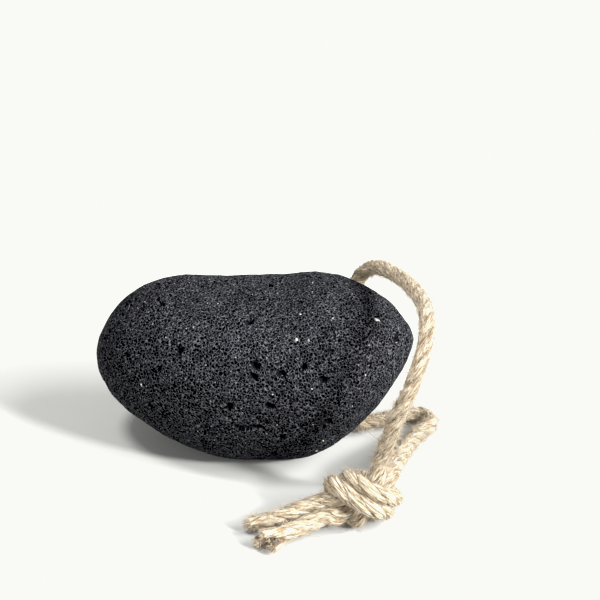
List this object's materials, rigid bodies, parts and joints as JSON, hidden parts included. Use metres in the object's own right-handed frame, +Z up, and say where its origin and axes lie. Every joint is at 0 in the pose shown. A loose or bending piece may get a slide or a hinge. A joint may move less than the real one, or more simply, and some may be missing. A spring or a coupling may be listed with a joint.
{
  "type": "pumice stone",
  "caption": "Natural dark pumice stone for the bath, drilled near its narrow end and threaded with a twisted natural-fibre rope whose ends are knotted together, resting on a flat under its belly",
  "frame": {"origin": "on the surface that the stone rests on, at the middle of the stone's footprint box", "axes": "+Z up; +X along the stone's long axis, towards its narrow drilled end; +Y away from the side that the rope's knot lies on"},
  "size_m": [0.1183, 0.1025, 0.0725],
  "materials": {
    "pumice": "matt charcoal pumice, open pores all over, a few pale mineral grains",
    "rope": "undyed three-strand natural fibre, matt and hairy"
  },
  "bodies": {
    "root": {"stone": "pumice", "rope_loop": "rope", "rope_knot": "rope", "rope_tail_upper": "rope", "rope_tail_lower": "rope"}
  },
  "joints": []
}
